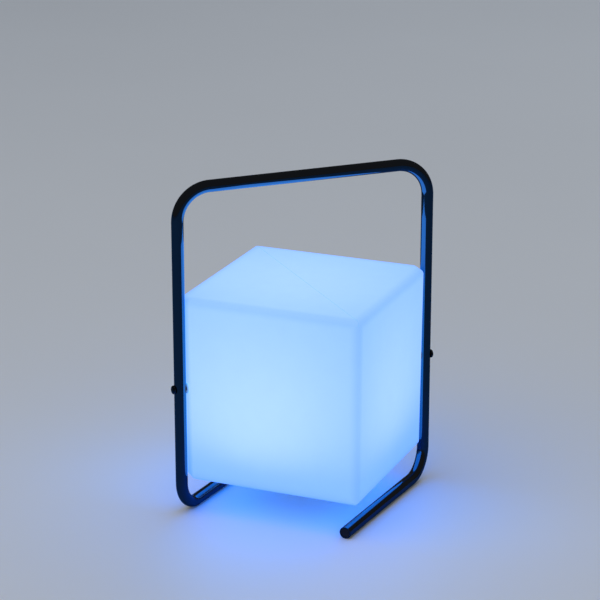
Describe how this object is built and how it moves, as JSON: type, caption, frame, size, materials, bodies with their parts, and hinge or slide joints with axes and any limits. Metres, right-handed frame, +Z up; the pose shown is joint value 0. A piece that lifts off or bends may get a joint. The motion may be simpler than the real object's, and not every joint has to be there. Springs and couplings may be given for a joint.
{
  "type": "floating pool light",
  "caption": "Glowing cube lantern hung between the uprights of one bent tube that forms its carrying handle, stand and feet.",
  "frame": {"origin": "on the floor, under the middle of the stand", "axes": "+Z up; +X along the pivot axis from the left upright to the right upright; -Y towards the end of the right foot"},
  "size_m": [0.2986, 0.2808, 0.363],
  "materials": {
    "dark_chrome": "dark polished plating with soft highlights",
    "black_plastic": "moulded, fine grain",
    "glowing_shell": "translucent moulded shell, lit pale blue from inside",
    "brass": "turned and knurled",
    "nylon": "natural nylon",
    "dark_steel": "dark plated",
    "white_plastic": "moulded, satin",
    "seal_rubber": "soft silicone",
    "opal_lens": "opal, slightly glossy",
    "plated_steel": "bright zinc",
    "white_board": "white solder mask",
    "green_board": "green solder mask",
    "lamp_package": "moulded package with a pale yellow face",
    "chip_black": "moulded epoxy",
    "cell_wrap": "shrink sleeve",
    "button_rubber": "soft moulded rubber"
  },
  "bodies": {
    "stand": {"carry_frame": "dark_chrome", "foot_plug_right": "black_plastic", "foot_plug_left": "black_plastic"},
    "lantern": {"cube_shell": "glowing_shell", "pivot_insert_right": "brass", "pivot_insert_left": "brass", "pivot_washer_right": "nylon", "pivot_washer_left": "nylon", "pivot_screw_right": "dark_steel", "pivot_screw_left": "dark_steel", "module_housing": "white_plastic", "module_seal": "seal_rubber", "flange_screw_1": "plated_steel", "flange_screw_2": "plated_steel", "flange_screw_3": "plated_steel", "flange_screw_4": "plated_steel", "lens_seal": "seal_rubber", "lamp_lens": "opal_lens", "light_board": "white_board", "light_board_screw_1": "plated_steel", "light_board_screw_2": "plated_steel", "light_board_screw_3": "plated_steel", "light_board_screw_4": "plated_steel", "light_chip_1": "lamp_package", "light_chip_2": "lamp_package", "light_chip_3": "lamp_package", "light_chip_4": "lamp_package", "light_chip_5": "lamp_package", "light_chip_6": "lamp_package", "light_chip_7": "lamp_package", "light_chip_8": "lamp_package", "light_chip_9": "lamp_package", "light_chip_10": "lamp_package", "light_chip_11": "lamp_package", "light_chip_12": "lamp_package", "remote_receiver": "chip_black", "control_board": "green_board", "control_board_screw_1": "plated_steel", "control_board_screw_2": "plated_steel", "power_switch": "chip_black", "charge_socket": "plated_steel", "control_chip": "chip_black", "cell_cradle": "black_plastic", "battery_cell_1": "cell_wrap", "battery_cell_2": "cell_wrap"},
    "power_button": {"power_button": "button_rubber", "switch_plunger": "chip_black"},
    "charge_port_plug": {"charge_port_plug": "button_rubber"}
  },
  "joints": [
    {"name": "cube_tilt", "type": "hinge", "parent": "stand", "child": "lantern", "pos_m": [0, 0, 0.1416], "axis": [1, 0, 0], "range_deg": [-12, 12]},
    {"name": "power_button_press", "type": "slide", "parent": "lantern", "child": "power_button", "axis": [0, 0, 1], "range_m": [0, 0.001], "stiffness_N_per_m": 600, "springref_m": -0.0005},
    {"name": "charge_port_plug_pull", "type": "slide", "parent": "lantern", "child": "charge_port_plug", "axis": [0, 0, -1], "range_m": [0, 0.008]}
  ]
}
